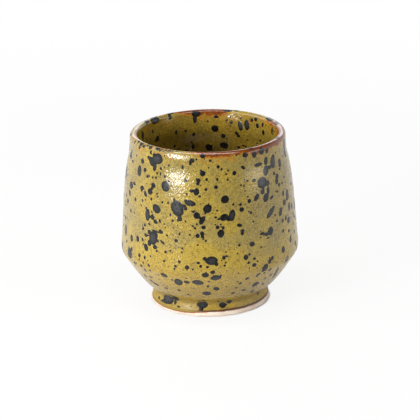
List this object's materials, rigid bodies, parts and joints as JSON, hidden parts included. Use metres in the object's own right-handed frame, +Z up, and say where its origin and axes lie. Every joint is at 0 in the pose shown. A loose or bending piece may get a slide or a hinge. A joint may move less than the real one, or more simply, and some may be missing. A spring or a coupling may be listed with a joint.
{
  "type": "tumbler",
  "caption": "Hand-thrown stoneware tumbler without a handle: bellied wall, rounded lip and trimmed foot ring, in ochre glaze spattered with black, for hot or cold drinks.",
  "frame": {"origin": "middle of the foot, on the surface that the tumbler stands on", "axes": "+Z up along the axis that the tumbler is thrown about; -Y faces the pictured side and +X is to its right"},
  "size_m": [0.088, 0.0882, 0.0867],
  "materials": {
    "clay": "bare pale buff stoneware, matt, with a toasted line where the glaze stops",
    "ochre_glaze": "ochre-olive satin glaze with fine brown speckle",
    "rust_glaze": "the same glaze, broken to rust brown where it runs thin over the lip",
    "liner_glaze": "ochre-olive satin glaze inside",
    "black_glaze": "black satin glaze in drops"
  },
  "bodies": {
    "root": {"clay_body": "clay", "outer_glaze": "ochre_glaze", "lip_glaze": "rust_glaze", "liner_glaze": "liner_glaze", "splash_01": "black_glaze", "splash_02": "black_glaze", "splash_03": "black_glaze", "splash_04": "black_glaze", "splash_05": "black_glaze", "splash_06": "black_glaze", "splash_07": "black_glaze", "splash_08": "black_glaze", "splash_09": "black_glaze", "splash_10": "black_glaze", "splash_11": "black_glaze", "splash_12": "black_glaze", "splash_13": "black_glaze", "splash_14": "black_glaze", "splash_15": "black_glaze", "splash_16": "black_glaze", "splash_17": "black_glaze", "splash_18": "black_glaze", "splash_19": "black_glaze", "splash_20": "black_glaze", "splash_21": "black_glaze", "splash_22": "black_glaze", "splash_23": "black_glaze", "splash_24": "black_glaze", "splash_25": "black_glaze", "splash_26": "black_glaze", "splash_27": "black_glaze", "splash_28": "black_glaze", "splash_29": "black_glaze", "splash_30": "black_glaze", "splash_31": "black_glaze", "splash_32": "black_glaze", "splash_33": "black_glaze", "splash_34": "black_glaze", "splash_35": "black_glaze", "splash_36": "black_glaze", "splash_37": "black_glaze", "splash_38": "black_glaze", "splash_39": "black_glaze", "splash_40": "black_glaze", "splash_41": "black_glaze", "splash_42": "black_glaze", "splash_43": "black_glaze", "splash_44": "black_glaze", "splash_45": "black_glaze", "splash_46": "black_glaze", "splash_47": "black_glaze", "splash_48": "black_glaze", "splash_49": "black_glaze", "inside_splash_01": "black_glaze", "inside_splash_02": "black_glaze", "inside_splash_03": "black_glaze", "inside_splash_04": "black_glaze", "inside_splash_05": "black_glaze", "inside_splash_06": "black_glaze"}
  },
  "joints": []
}
